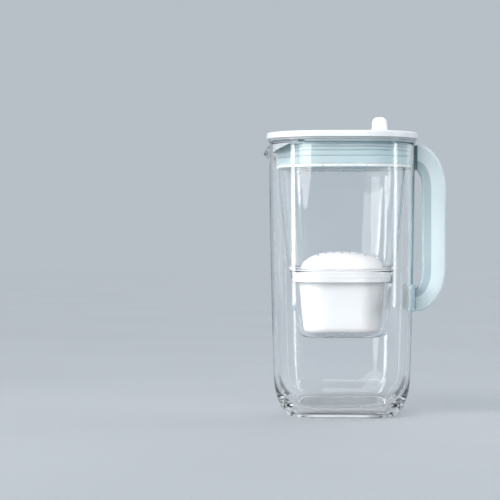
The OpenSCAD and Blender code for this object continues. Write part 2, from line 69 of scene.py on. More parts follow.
# Driving sizes in millimetres, most of them those of the CAD source
JUG_CX, JUG_CY, JUG_R = 22, 18, 52  # centre and radius of the upright corners at the jug's mouth
RIM_Z, WALL = 278, 3
TAPER_TOP_Z, FOOT_Z, TAPER = 240, 42, 4.5  # the sides draw in by TAPER between the two heights
LIP_LOW_Z, LIP_REACH, LIP_HALF, LIP_DROP = 255.0, 7, 20.5, 9.8
HANDLE_IN, HANDLE_DEPTH = 82.3, 24.4  # x of the handle's inner face, and its depth out to the outer face
HANDLE_TOP, HANDLE_LOW = (76, 232), (74, 150)  # centres (x, z) of the handle's upper and lower bends
BAND = 0.355  # how deep in the handle its more see-through inner band ends, as a part of its depth
SCREW_Z = (165, 217)
COLLAR_R = 48.4
WEDGE_SLOPE, WEDGE_APEX_X, WEDGE_FRONT_X = math.tan(math.radians(60)), -74.8, -67.4
GROOVES = ((263.6, 1.0), (269, 1.0), (272.6, 1.0), (275.6, 1.0))  # foot and height of each, in the collar
TANK_R, TANK_WALL, DECK_Z = 44.8, 2, 150
LID_TOP, FLAP_X, HINGE_X, HINGE_Z = 289.3, 3, -28, 286.6
BUTTON_X, BUTTON_HALF = -45, 5
TAB_X = 38.6
DOME_Z, DOME_FULLNESS = 148.6, 2.35  # foot of the cartridge's dome, and its exponent: an ellipse has 2


# ---------- outlines ----------


def plan_round(cx, cy):
    """A rounded rectangle with those corner centres, as rows of base point and outward normal.

    It runs counterclockwise, from the -Y end of the corner at +X and -Y.
    """
    signs = ((1, -1), (1, 1), (-1, 1), (-1, -1))
    rows = []
    for k, (sx, sy) in enumerate(signs):
        start = math.radians(90 * k - 90)
        for i in range(CORNER):
            a = start + math.pi / 2 * i / CORNER
            rows.append((sx * cx, sy * cy, math.cos(a), math.sin(a)))
        a = start + math.pi / 2
        nx, ny = signs[(k + 1) % 4]
        count = WIDE if k % 2 == 0 else LONG
        for i in range(count):
            t = i / count
            x, y = cx * (sx + (nx - sx) * t), cy * (sy + (ny - sy) * t)
            rows.append((x, y, math.cos(a), math.sin(a)))
    return np.array(rows)


def plan_oval(mid):
    """A stadium along X, with as many points as plan_round, in the same order."""
    end = 2 * CORNER + WIDE
    rows = []
    for s in (1, -1):
        for i in range(end):
            a = math.radians(-90 * s) + math.pi * i / end
            rows.append((s * mid, 0, math.cos(a), math.sin(a)))
        for i in range(LONG):
            rows.append((s * mid * (1 - 2 * i / LONG), 0, 0, s))
    return np.array(rows)


def ring(plan, r, z):
    """The closed loop of a plan at offset r from its base, at height z."""
    return np.column_stack((plan[:, :2] + r * plan[:, 2:], np.full(len(plan), float(z))))


def stack(plan, levels):
    """The loops of a plan at (offset, height) levels."""
    return [ring(plan, r, z) for r, z in levels]


def arc(cx, cy, a, b, start, end, steps):
    """Points on an ellipse's arc, with its angles in degrees."""
    t = np.radians(np.linspace(start, end, steps + 1))
    return [(cx + a * math.cos(k), cy + b * math.sin(k)) for k in t]


def full_turn(count):
    """The angles of count even steps round a circle."""
    return np.linspace(0, 2 * math.pi, count + 1)[:-1]


def rectangle(x0, y0, x1, y1):
    """Its corners, counterclockwise."""
    return [(x0, y0), (x1, y0), (x1, y1), (x0, y1)]


def stadium(cx, cy, mid, r, along_y=False, steps=14):
    """A round-ended outline whose two half circles are centred at a distance mid from its middle."""
    points = arc(mid, 0, r, r, -90, 90, steps) + arc(-mid, 0, r, r, 90, 270, steps)
    if along_y:
        points = [(-y, x) for x, y in points]
    return [(cx + x, cy + y) for x, y in points]


def rounded(points, radii, steps=5):
    """A closed outline with each corner rounded to its radius."""
    if not hasattr(radii, "__len__"):
        radii = [radii] * len(points)
    out = []
    for k, p in enumerate(points):
        p, before, after = (np.array(q, float) for q in (p, points[k - 1], points[(k + 1) % len(points)]))
        if radii[k] <= 0:
            out.append(tuple(p))
            continue
        u = (before - p) / np.linalg.norm(before - p)
        v = (after - p) / np.linalg.norm(after - p)
        half = math.acos(max(-1, min(1, u @ v))) / 2
        reach = radii[k] / math.tan(half)
        centre = p + (u + v) / np.linalg.norm(u + v) * radii[k] / math.sin(half)
        a, b = p + u * reach - centre, p + v * reach - centre
        turn = math.atan2(a[0] * b[1] - a[1] * b[0], a @ b)
        for i in range(steps + 1):
            c, s = math.cos(turn * i / steps), math.sin(turn * i / steps)
            out.append(tuple(centre + np.array((a[0] * c - a[1] * s, a[0] * s + a[1] * c))))
    return out


def mitres(outline):
    """The outward mitre normal at each point of a counterclockwise outline."""
    p = np.array(outline, float)
    step = np.roll(p, -1, axis=0) - p
    step /= np.linalg.norm(step, axis=1)[:, None]
    n1 = np.column_stack((step[:, 1], -step[:, 0]))
    n0 = np.roll(n1, 1, axis=0)
    sharpest = 0.35  # keeps the mitre of a very sharp corner short
    return (n0 + n1) / np.maximum(1 + (n0 * n1).sum(1), sharpest)[:, None]


def plan_of(outline):
    return np.column_stack((np.array(outline, float), mitres(outline)))


def edges(low, high, r_low, r_high, steps=3):
    """Offset and height up a wall whose lower and upper edges are rounded."""
    turns = np.linspace(0, math.pi / 2, steps + 1)
    up = [(-r_low + r_low * math.sin(t), low + r_low * (1 - math.cos(t))) for t in turns]
    down = [(-r_high + r_high * math.cos(t), high - r_high * (1 - math.sin(t))) for t in turns]
    return up + down


# ---------- meshes ----------


def shell(rings, closed=False):
    """Vertices and faces between rings of equal length.

    Closed joins the last ring to the first. Otherwise a cap closes each end.
    """
    n, m = len(rings[0]), len(rings)
    faces = []
    for k in range(m if closed else m - 1):
        a, b = k * n, (k + 1) % m * n
        faces += [(a + i, a + (i + 1) % n, b + (i + 1) % n, b + i) for i in range(n)]
    if not closed:
        faces.append(tuple(range(n))[::-1])
        faces.append(tuple((m - 1) * n + i for i in range(n)))
    return np.concatenate(rings), faces


def turned(points, axis):
    """Points drawn with their height along Z, laid so that the height runs along the given axis."""
    x, y, z = points.T
    return np.column_stack({"x": (z, x, y), "y": (x, z, y), "z": (x, y, z)}[axis])


def prism(outline, levels, axis="z"):
    """An outline carried through (offset, height) levels."""
    verts, faces = shell(stack(plan_of(outline), levels))
    return turned(verts, axis), faces


def block(centre, half, r=0.4):
    """A box with rounded edges and corners."""
    (x, y, z), (hx, hy, hz) = centre, half
    outline = rounded(rectangle(x - hx, y - hy, x + hx, y + hy), 1.5 * r, 4)
    return prism(outline, edges(z - hz, z + hz, r, r))


def lathe(profile, place, axis, count=40):
    """A closed body of revolution from (radius, height) pairs, standing at place along an axis."""
    turns = full_turn(count)
    rings = [np.array([(r * math.cos(t), r * math.sin(t), h) for t in turns]) for r, h in profile]
    verts, faces = shell(rings)
    return turned(verts, axis) + np.array(place, float), faces


def rod(r, length, edge=0.3):
    """Profile of a round rod with rounded ends, centred on its middle."""
    return [(r + d, h) for d, h in edges(-length / 2, length / 2, edge, edge)]


def solid(name, *shells):
    """A mesh object from shells in millimetres."""
    bm = bmesh.new()
    for verts, faces in shells:
        made = [bm.verts.new(Vector(v) * MM) for v in verts]
        for f in faces:
            bm.faces.new([made[i] for i in f])
    bmesh.ops.remove_doubles(bm, verts=bm.verts, dist=1e-7)
    bmesh.ops.dissolve_degenerate(bm, edges=bm.edges, dist=1e-7)
    bmesh.ops.recalc_face_normals(bm, faces=bm.faces)
    mesh = bpy.data.meshes.new(name)
    bm.to_mesh(mesh)
    bm.free()
    obj = bpy.data.objects.new(name, mesh)
    bpy.context.scene.collection.objects.link(obj)
    return obj


def combine(obj, operation, *others):
    """Adds or cuts away other solids, which then go."""
    for other in others:
        step = obj.modifiers.new("step", "BOOLEAN")
        step.operation, step.solver, step.object = operation, "EXACT", other
        graph = bpy.context.evaluated_depsgraph_get()
        mesh = bpy.data.meshes.new_from_object(obj.evaluated_get(graph))
        obj.modifiers.clear()
        obj.data = mesh
        bpy.data.objects.remove(other)
    return obj


def add(obj, *shells):
    return combine(obj, "UNION", *(solid("tool", s) for s in shells))


def cut(obj, *shells):
    return combine(obj, "DIFFERENCE", *(solid("tool", s) for s in shells))


def finish_piece(obj, body, material, replaced, sharp=38, clear=False):
    """Shading, material, body and replaced nodes.

    A clear piece casts no shadow, so that light reaches what stands inside.
    """
    obj.visible_shadow = not clear
    obj.data.materials.clear()
    obj.data.materials.append(material)
    for polygon in obj.data.polygons:
        polygon.material_index = 0
    obj.data.shade_smooth()
    obj.data.set_sharp_from_angle(angle=math.radians(sharp))
    if not clear:
        flatter = obj.modifiers.new("flat_faces_stay_flat", "WEIGHTED_NORMAL")
        flatter.keep_sharp = True
    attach(obj, body)
    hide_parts(*replaced)


def second_material(obj, material, chosen):
    """Gives another material to the chosen faces of a finished piece."""
    obj.data.materials.append(material)
    for polygon in obj.data.polygons:
        if chosen(polygon):
            polygon.material_index = 1


# ---------- materials ----------


class Look:
    """A Principled material whose colour, roughness and relief vary by noise in the object's own space."""

    def __init__(self, name, **sockets):
        self.material = bpy.data.materials.new(name)
        self.material.use_nodes = True
        self.tree = self.material.node_tree
        self.link = self.tree.links.new
        self.shader = self.tree.nodes["Principled BSDF"]
        self.place = self.tree.nodes.new("ShaderNodeTexCoord").outputs["Object"]
        self.normal = None
        for key, value in sockets.items():
            self.shader.inputs[key.replace("_", " ")].default_value = value

    def node(self, kind, links=(), **values):
        """A new node with its inputs linked and its settings or sockets set."""
        made = self.tree.nodes.new(kind)
        for key, value in values.items():
            if hasattr(made, key):
                setattr(made, key, value)
            else:
                made.inputs[key.replace("_", " ")].default_value = value
        for socket, source in links:
            self.link(source, made.inputs[socket])
        return made

    def noise(self, size_mm, detail=3, stretch=(1, 1, 1)):
        """Noise whose features are about size_mm across, and longer along an axis with a stretch below 1."""
        mapping = self.node("ShaderNodeMapping", [("Vector", self.place)])
        mapping.inputs["Scale"].default_value = stretch
        vector = [("Vector", mapping.outputs["Vector"])]
        return self.node("ShaderNodeTexNoise", vector, Scale=1000 / size_mm, Detail=detail).outputs["Fac"]

    def spread(self, fac, low, high, start=0.3, end=0.7):
        """A value that goes from low to high as fac goes from start to end."""
        made = self.node("ShaderNodeMapRange", [("Value", fac)])
        for key, value in (("From Min", start), ("From Max", end), ("To Min", low), ("To Max", high)):
            made.inputs[key].default_value = value
        return made.outputs["Result"]

    def colour(self, fac, dark, light, start=0.35, end=0.65):
        made = self.node("ShaderNodeValToRGB", [("Fac", fac)])
        first, last = made.color_ramp.elements
        first.position, first.color = start, (*dark, 1)
        last.position, last.color = end, (*light, 1)
        self.link(made.outputs["Color"], self.shader.inputs["Base Color"])

    def roughness(self, fac, low, high):
        self.link(self.spread(fac, low, high), self.shader.inputs["Roughness"])

    def wear(self, tone, dulling=0.12, width_mm=0.5):
        """Broken wear along the edges: the colour turns to the worn tone, the roughness gains the dulling."""
        soft = self.node("ShaderNodeBevel", samples=4)
        soft.inputs["Radius"].default_value = width_mm * MM
        own = self.node("ShaderNodeNewGeometry")
        facing = self.node("ShaderNodeVectorMath", operation="DOT_PRODUCT")
        self.link(soft.outputs["Normal"], facing.inputs[0])
        self.link(own.outputs["Normal"], facing.inputs[1])
        # Near an edge the rounded normal turns away from the face's own, so their product drops below 1
        edge = self.spread(facing.outputs["Value"], 1, 0, 0.8, 0.98)
        patches = self.spread(self.noise(5, 4), 0.15, 1)
        worn = self.node("ShaderNodeMath", operation="MULTIPLY")
        self.link(edge, worn.inputs[0])
        self.link(patches, worn.inputs[1])

        base, rough = self.shader.inputs["Base Color"], self.shader.inputs["Roughness"]
        mixed = self.node("ShaderNodeMix", data_type="RGBA")
        fresh_colour, worn_colour, mixed_colour = mixed.inputs[6], mixed.inputs[7], mixed.outputs[2]
        self.link(worn.outputs[0], mixed.inputs["Factor"])
        self.link(base.links[0].from_socket, fresh_colour)
        worn_colour.default_value = (*tone, 1)
        duller = self.node("ShaderNodeMath", operation="MULTIPLY_ADD")
        self.link(worn.outputs[0], duller.inputs[0])
        duller.inputs[1].default_value = dulling
        self.link(rough.links[0].from_socket, duller.inputs[2])
        self.link(mixed_colour, base)
        self.link(duller.outputs[0], rough)

    def relief(self, fac, depth_mm):
        """A bump on top of those already there."""
        links = [("Height", fac)] + ([("Normal", self.normal)] if self.normal else [])
        bump = self.node("ShaderNodeBump", links, Strength=1.0, Distance=depth_mm * MM)
        self.normal = bump.outputs["Normal"]
        self.link(self.normal, self.shader.inputs["Normal"])


def clear_look(
    name, dark, light, transmission, rough, wave_mm, wave_depth, ior, grain_depth=0.0, worn=None
):
    """Clear or tinted see-through material: slow waves from the mould, faint wipe marks in the gloss."""
    look = Look(name, Transmission_Weight=transmission, IOR=ior)
    look.colour(look.noise(45, 2), dark, light)
    look.roughness(look.noise(9, 4, (1, 1, 0.35)), *rough)
    if worn:
        look.wear(worn)
    look.relief(look.noise(wave_mm, 1), wave_depth)
    if grain_depth:
        look.relief(look.noise(0.7, 2), grain_depth)
    return look.material


def plastic_look(name, dark, light, rough, grain_mm=0.5, grain_depth=0.012, subsurface=0.0, worn=None):
    """Moulded opaque plastic: soft colour drift, fine grain, faint scuffs in the gloss."""
    look = Look(name, IOR=1.5, Subsurface_Weight=subsurface, Subsurface_Scale=0.002)
    look.colour(look.noise(30, 3), dark, light)
    look.roughness(look.noise(12, 4, (1, 0.4, 1)), *rough)
    if worn:
        look.wear(worn)
    look.relief(look.noise(grain_mm, 2), grain_depth)
    look.relief(look.noise(25, 1), 0.03)
    return look.material


def metal_look(name, dark, light, rough, stretch):
    """Steel brushed along the axis with the stretch below 1, and polished where it is worn."""
    look = Look(name, Metallic=1.0)
    look.colour(look.noise(8, 3), dark, light)
    brushed = look.noise(0.5, 4, stretch)
    look.roughness(brushed, *rough)
    look.wear((0.8, 0.8, 0.81), -0.08, 0.15)
    look.relief(brushed, 0.01)
    return look.material


# Clear looks: dark and light colour, transmission, roughness, size and depth of waves, IOR, grain, worn tone
GLASS = clear_look("pressed_glass", (0.98, 0.994, 0.994), (0.995, 1, 1), 1.0, (0.0, 0.01), 38, 0.08, 1.48)
TANK = clear_look("clear_moulding", (0.975, 0.986, 0.992), (0.99, 0.996, 1), 1.0, (0.0, 0.03), 22, 0.04, 1.42)
TANK_RIM = clear_look(
    "frosted_rim", (0.87, 0.93, 0.95), (0.91, 0.955, 0.97), 0.4, (0.25, 0.35), 18, 0.03, 1.42, 0.01
)
MILK = clear_look(
    "milky_blue_moulding", (0.83, 0.955, 0.975), (0.87, 0.975, 0.99), 0.35, (0.1, 0.16), 18, 0.05, 1.42,
    0.006, (0.93, 0.97, 0.975),
)
ICE = clear_look(
    "ice_blue_moulding", (0.76, 0.905, 0.945), (0.81, 0.93, 0.96), 0.62, (0.07, 0.12), 18, 0.05, 1.42, 0.006
)
# Darker blue for the collar's grooves: painted shade, the lid's shadow falling in them
GROOVE_SHADE = clear_look(
    "groove_painted_shade", (0.5, 0.68, 0.75), (0.56, 0.73, 0.8), 0.62, (0.1, 0.16), 18, 0.05, 1.42, 0.006
)
GRIP = clear_look(
    "grip_moulding", (0.2, 0.36, 0.43), (0.24, 0.4, 0.47), 0.25, (0.28, 0.4), 18, 0.05, 1.46, 0.02
)
# Dark teal of the upper saddle plate: painted shade of the gap between the glass and the handle's root
GAP_SHADE_TEAL = clear_look(
    "teal_painted_gap_shade", (0.1, 0.21, 0.235), (0.14, 0.26, 0.29), 0.35, (0.2, 0.32), 14, 0.04, 1.46, 0.01
)
SMOKE = clear_look(
    "smoke_moulding", (0.58, 0.63, 0.665), (0.63, 0.68, 0.71), 0.35, (0.14, 0.22), 16, 0.03, 1.44, 0.004
)
WINDOW = clear_look(
    "light_window", (0.36, 0.39, 0.41), (0.44, 0.47, 0.49), 0.3, (0.25, 0.35), 10, 0.03, 1.46, 0.01
)
PAD = clear_look("bond_pad", (0.83, 0.87, 0.88), (0.88, 0.91, 0.92), 0.6, (0.35, 0.5), 6, 0.08, 1.42, 0.02)
WHITE = plastic_look(
    "lid_white", (0.795, 0.81, 0.82), (0.812, 0.826, 0.835), (0.28, 0.32),
    grain_depth=0.004, subsurface=0.06, worn=(0.7, 0.71, 0.712),
)
FILTER = plastic_look(
    "cartridge_white", (0.7, 0.708, 0.727), (0.735, 0.742, 0.76), (0.38, 0.5),
    grain_mm=0.9, grain_depth=0.03, subsurface=0.08, worn=(0.64, 0.645, 0.655),
)
SEAL = plastic_look(
    "seal_elastomer", (0.7, 0.735, 0.75), (0.76, 0.79, 0.805), (0.5, 0.65),
    grain_mm=1.2, grain_depth=0.03, subsurface=0.15,
)
STEEL = metal_look("turned_steel", (0.56, 0.57, 0.58), (0.66, 0.67, 0.68), (0.22, 0.4), (1, 0.05, 1))
CELL = metal_look("cell_steel", (0.62, 0.63, 0.64), (0.72, 0.73, 0.74), (0.3, 0.5), (0.1, 1, 1))


def board_look():
    look = Look("board_green", IOR=1.5)
    look.colour(look.noise(2.2, 2), (0.02, 0.12, 0.07), (0.035, 0.17, 0.1), 0.45, 0.55)
    look.roughness(look.noise(3), 0.3, 0.45)
    look.relief(look.noise(1.1, 0), 0.04)
    return look.material


def fleece_look():
    """Woven screen: two crossed sets of threads."""
    thread_mm = 0.9
    look = Look("woven_screen", IOR=1.45, Roughness=0.75)
    weave = look.node("ShaderNodeMath", operation="MAXIMUM")
    for k, direction in enumerate("XY"):
        wave = look.node(
            "ShaderNodeTexWave",
            [("Vector", look.place)],
            bands_direction=direction,
            Scale=1000 / thread_mm / 6.28,
            Distortion=0.4,
        )
        look.link(wave.outputs["Fac"], weave.inputs[k])
    look.colour(weave.outputs[0], (0.55, 0.56, 0.57), (0.85, 0.86, 0.87))
    look.relief(weave.outputs[0], 0.15)
    return look.material


def granule_look():
    grain_mm = 0.9
    look = Look("filter_granules", IOR=1.5)
    cells = look.node("ShaderNodeTexVoronoi", [("Vector", look.place)], Scale=1000 / grain_mm)
    look.colour(cells.outputs["Color"], (0.02, 0.018, 0.016), (0.3, 0.26, 0.2), 0.2, 0.85)
    look.roughness(look.noise(1.5), 0.5, 0.8)
    look.relief(cells.outputs["Distance"], 0.5)
    return look.material


# ---------- glass jug ----------

jug_plan = plan_round(JUG_CX, JUG_CY)


def glass_r(z):
    """Offset of the jug's outer face from its plan, above the foot."""
    if z >= TAPER_TOP_Z:
        return JUG_R
    return JUG_R - TAPER * ((TAPER_TOP_Z - z) / (TAPER_TOP_Z - FOOT_Z)) ** 1.5


def lip_pull(points, wall_part):
    """Pulls the front of a ring out into the pouring lip and drops its rim.

    wall_part goes from 0 on the outer face to 1 on the inner one.
    """
    behind_x = -60  # the lip is pulled from what lies in front of this
    ease = 0.12  # rounds the two corners where the rim turns down into the lip
    bulge_z, bulge_height = 257.5, 10.8  # where the lip starts to stand out, and how far up it is full
    widening = 11  # how far up it has its full width

    p = points.copy()
    front = p[:, 0] < behind_x
    y, z = np.abs(p[:, 1]), p[:, 2]

    def across(half):
        """From 1 in the middle of the lip to 0 at its half width."""
        return np.maximum(0, 1 - np.minimum(y / half, 1) ** 1.7) ** 1.35

    dip, deepest = np.sqrt(across(LIP_HALF) ** 2 + ease**2) - ease, math.sqrt(1 + ease**2) - ease
    rim = RIM_Z - LIP_DROP * dip / deepest
    squeezed = LIP_LOW_Z + (z - LIP_LOW_Z) * (rim - LIP_LOW_Z) / (RIM_Z - LIP_LOW_Z)
    z = np.where(front & (z > LIP_LOW_Z), squeezed, z)
    rise = np.clip((z - bulge_z) / bulge_height, 0, 1) ** 1.8
    half = LIP_HALF * np.clip((z - LIP_LOW_Z) / widening, 0.02, 1) ** 0.7 - 1.2 * wall_part
    pull = LIP_REACH * rise * across(np.maximum(half, 0.5)) * (1 + 0.15 * wall_part)
    p[:, 0] = np.where(front, p[:, 0] - pull, p[:, 0])
    p[:, 2] = z
    return p


def make_glass():
    rim_r = WALL / 2
    brim_z = RIM_Z - rim_r
    foot_in = 21  # how far the round foot draws in
    side = list(np.linspace(FOOT_Z, 236, 15)) + [242, 249] + list(np.linspace(LIP_LOW_Z, brim_z, 15))
    outer = [(8, 1.0), (18, 0.95), (23.6, 0.55), (25.2, 0.08)]  # the base is slightly hollow underneath
    outer += arc(glass_r(FOOT_Z) - foot_in, FOOT_Z, foot_in, FOOT_Z, -90, 0, 22)[:-1]
    outer += [(glass_r(z), z) for z in side]
    rim = arc(JUG_R - rim_r, brim_z, rim_r, rim_r, 0, 180, 8)[1:-1]
    inner = [(glass_r(z) - WALL, z) for z in side[:0:-1]]
    inner += arc(20.5, 44, 24, 36, 0, -90, 22) + [(14, 8.0), (7, 8.15)]
    rings = []
    for k, (r, z) in enumerate(outer + rim + inner):
        wall_part = min(1, max(0, (k - len(outer) + 1) / (len(rim) + 1)))
        rings.append(lip_pull(ring(jug_plan, r, z), wall_part))
    obj = solid("glass_body", shell(rings))
    finish_piece(obj, "jug", GLASS, ["glass_jug"], 50, clear=True)


# ---------- handle and saddles ----------


def handle_sizes(part):
    """At a part of the handle's depth: x of the straight stretch, height of the upper and lower bends."""
    return HANDLE_IN + HANDLE_DEPTH * part, 19.5 + 27 * part, 20 + 23.3 * part


def handle_line(part):
    """Points (x, z) along the handle from its upper to its lower root, at a part of its depth."""
    (top_x, top_z), (low_x, low_z) = HANDLE_TOP, HANDLE_LOW
    x, tall, low = handle_sizes(part)
    # Both ends stop about a millimetre outside their bend's centre, next to the saddles
    top_start = math.degrees(math.acos(0.9 / (x - top_x)))
    low_end = math.degrees(math.acos(1 / (x - low_x)))
    upper = arc(top_x, top_z, x - top_x, tall, top_start, 0, 18)
    straight = [(x, z) for z in np.linspace(top_z, low_z, 9)[1:-1]]
    return upper + straight + arc(low_x, low_z, x - low_x, low, 0, -low_end, 18)


def depth_part(x, z):
    """How deep in the handle a point (x, z) lies: the part whose line goes through it."""
    (top_x, top_z), (low_x, low_z) = HANDLE_TOP, HANDLE_LOW
    low, high = -0.1, 1.1
    for _ in range(20):
        part = (low + high) / 2
        straight_x, upper, lower = handle_sizes(part)
        if z > (top_z + low_z) / 2:
            over, centre_x, tall = z - top_z, top_x, upper
        else:
            over, centre_x, tall = low_z - z, low_x, lower
        beyond = ((x - centre_x) / (straight_x - centre_x)) ** 2 + (max(0, over) / tall) ** 2 > 1
        low, high = (part, high) if beyond else (low, part)
    return part


def handle_sweep(outer, inner):
    """A channel along the handle, from (part, y) points on one half of its outer and inner faces."""

    def mirrored(half):
        return [(part, -y) for part, y in reversed(half)]

    section = outer + mirrored(outer) + mirrored(inner) + inner
    lines = [handle_line(part) for part, _ in section]
    rings = []
    for k in range(len(lines[0])):
        rings.append(np.array([(line[k][0], y, line[k][1]) for line, (_, y) in zip(lines, section)]))
    return shell(rings)


def make_handle_cover():
    w, wall = 13.5, 2.6  # half the handle's width, and its wall
    boss_x, boss_r, boss_length = 98.7, 3.4, 13.4

    def groove(part, floor, mouth):
        """A fine groove along the handle's side, with half its width at the floor and at the mouth."""
        falling = [(part - mouth, w), (part - floor, w - 0.25)]
        return falling + [(part, w - 0.3), (part + floor, w - 0.25), (part + mouth, w)]

    outer = [(0.0, w - 1.3), (0.012, w - 0.5), (0.04, w - 0.1), (0.07, w), (0.2, w)]
    outer += groove(BAND, 0.01, 0.016) + [(0.55, w)] + groove(0.8, 0.008, 0.015)
    outer += arc(0.85, w - 3.4, 0.135, 3.4, 90, 0, 7) + [(0.993, 5), (1.0, 1.5)]
    inner = [(0.905, 1.5), (0.9, 5), (0.893, w - wall - 1.6), (0.875, w - wall - 0.5)]
    inner += [(part, w - wall) for part in (0.83, 0.55, 0.3, 0.05)] + [(0.015, w - wall + 0.5)]
    obj = solid("handle_cover", handle_sweep(outer, inner))
    add(obj, *[lathe(rod(boss_r, boss_length), (boss_x, 0, z), "x", 32) for z in SCREW_Z])
    finish_piece(obj, "jug", MILK, ["handle_outer_shell"])
    second_material(obj, ICE, lambda face: depth_part(face.center[0] / MM, face.center[2] / MM) < BAND)


def make_handle_liner():
    w, wall = 10.8, 2.0
    hole_x, hole_r, hole_length = 91, 1.6, 12
    outer = [(0.02, w - 0.9), (0.035, w - 0.2), (0.06, w), (0.2, w)]
    outer += [(0.38, w), (0.41, w - 0.5), (0.42, w - 1.2), (0.42, 4)]
    inner = [(0.33, 4), (0.33, w - wall - 1.2), (0.31, w - wall - 0.3)]
    inner += [(part, w - wall) for part in (0.28, 0.15, 0.05)] + [(0.03, w - wall + 0.35)]
    obj = solid("handle_liner", handle_sweep(outer, inner))
    cut(obj, *[lathe(rod(hole_r, hole_length), (hole_x, 0, z), "x", 24) for z in SCREW_Z])
    finish_piece(obj, "jug", GRIP, ["handle_inner_shell"])


def make_screws():
    shank_x, head_x = 95.2, 89.55
    crest, root, half_pitch = 1.3, 1.02, 0.3
    thread = [(crest if k % 2 else root, -5.2 + half_pitch * k) for k in range(34)]
    shanks = [lathe([(1.1, -5.5)] + thread + [(0.6, 5.2)], (shank_x, 0, z), "x", 20) for z in SCREW_Z]
    finish_piece(solid("handle_screw_shanks", *shanks), "jug", STEEL, ["handle_screws"])

    profile = [(1.6, -0.8), (2.3, -0.72), (2.6, -0.45), (2.7, -0.1), (2.7, 0.75), (2.6, 0.8)]
    tip, notch = 1.3, 0.8  # radii of the six-pointed star in the head
    star = []
    for k in range(12):
        a, r = k * math.pi / 6, tip if k % 2 else notch
        star.append((math.cos(a) * r, math.sin(a) * r))
    verts, faces = prism(rounded(star, 0.12, 2), [(0, -1.2), (0, 0.25)], "x")
    for k, z in enumerate(SCREW_Z):
        head = solid(f"handle_screw_head_{k + 1}", lathe(profile, (head_x, 0, z), "x", 40))
        cut(head, (verts + np.array((head_x, 0, z)), faces))
        finish_piece(head, "jug", STEEL, [])


def make_upper_saddle():
    plate = prism(rounded(rectangle(-13, 252, 13, 277), 2.5), edges(74.6, 76.85, 0.4, 0.5), "x")
    tongue = prism(rounded(rectangle(-8.5, 264.5, 8.5, 273.5), 1.5), edges(76.3, 83.7, 0.1, 0.8), "x")
    obj = solid("upper_saddle_plate", plate)
    add(obj, tongue)
    # The plate's dark teal is painted shade of the gap between the glass and the handle
    finish_piece(obj, "jug", GAP_SHADE_TEAL, ["upper_saddle"])


def make_lower_saddle():
    """A pad with rounded corners, bent round the glass, with a tongue into the handle's lower end."""
    across, up, corner = 48, 14, 6  # points across, rows up, corner radius
    half_w, z0, z1 = 40, 107, 135
    # Distances off the glass: both faces, both faces on the top and bottom rows, the outer face at the ends
    outer_off, inner_off = 2.6, 0.65
    row_outer_off, row_inner_off, end_off = 2.25, 1.0, 1.9

    def on_glass(y, z, off):
        """The point at y along the jug's end face, off the glass."""
        r = glass_r(z) + off
        if abs(y) <= JUG_CY:
            return (JUG_CX + r, y, z)
        a = (abs(y) - JUG_CY) / r
        return (JUG_CX + r * math.cos(a), math.copysign(JUG_CY + r * math.sin(a), y), z)

    def half_width(z):
        edge = max(0, corner - min(z - z0, z1 - z))
        return half_w - (corner - math.sqrt(max(0, corner**2 - edge**2)))

    heights = [z0 + (z1 - z0) * (1 - math.cos(math.pi * k / up)) / 2 for k in range(up + 1)]
    rings = []
    for z in heights:
        w = half_width(z)
        ys = [w * math.sin(math.pi / 2 * t) for t in np.linspace(-1, 1, across)]
        outside, inside = outer_off, inner_off
        if z in (heights[0], heights[-1]):
            outside, inside = row_outer_off, row_inner_off
        front = [on_glass(y, z, outside if abs(y) < w * 0.995 else end_off) for y in ys]
        back = [on_glass(y, z, inside) for y in reversed(ys)]
        rings.append(np.array(front + back))
    obj = solid("lower_saddle_pad", shell(rings))
    add(obj, block((77.6, 0, 114.8), (3.6, 8.4, 3.9), 0.8))
    finish_piece(obj, "jug", ICE, ["lower_saddle"], 45)


# ---------- hopper ----------

tank_plan = plan_round(20, 16)
cup_plan = plan_oval(18.5)


def tank_r(z):
    """Offset of the hopper's outer face from its plan, above the deck."""
    top_z, height, draw_in = 253.2, 103.2, 10.9
    return TANK_R - draw_in * ((top_z - min(z, top_z)) / height) ** 1.5


def collar_outline():
    """The collar's outline: the mouth's inside with a wedge to the spout, counterclockwise."""
    # Where the wedge leaves the round corner centred at (-JUG_CX, JUG_CY)
    xs = np.linspace(WEDGE_FRONT_X, -JUG_CX, 20001)
    gap = (xs + JUG_CX) ** 2 + (WEDGE_SLOPE * (xs - WEDGE_APEX_X) - JUG_CY) ** 2 - COLLAR_R * COLLAR_R
    x = xs[np.argmax(gap > 0)]
    y = WEDGE_SLOPE * (x - WEDGE_APEX_X)
    leave = math.degrees(math.atan2(y - JUG_CY, x + JUG_CX))
    front_half = WEDGE_SLOPE * (WEDGE_FRONT_X - WEDGE_APEX_X)
    far = arc(JUG_CX, JUG_CY, COLLAR_R, COLLAR_R, 0, 90, 16)
    far += arc(-JUG_CX, JUG_CY, COLLAR_R, COLLAR_R, 90, leave, 8)
    near = [(px, -py) for px, py in reversed(far)]
    loop = [(WEDGE_FRONT_X, front_half), (WEDGE_FRONT_X, -front_half)] + near + far
    radii = [3, 3] + [2] + [0] * (len(near) - 1 + len(far) - 1) + [2]
    return rounded(loop, radii, 5)


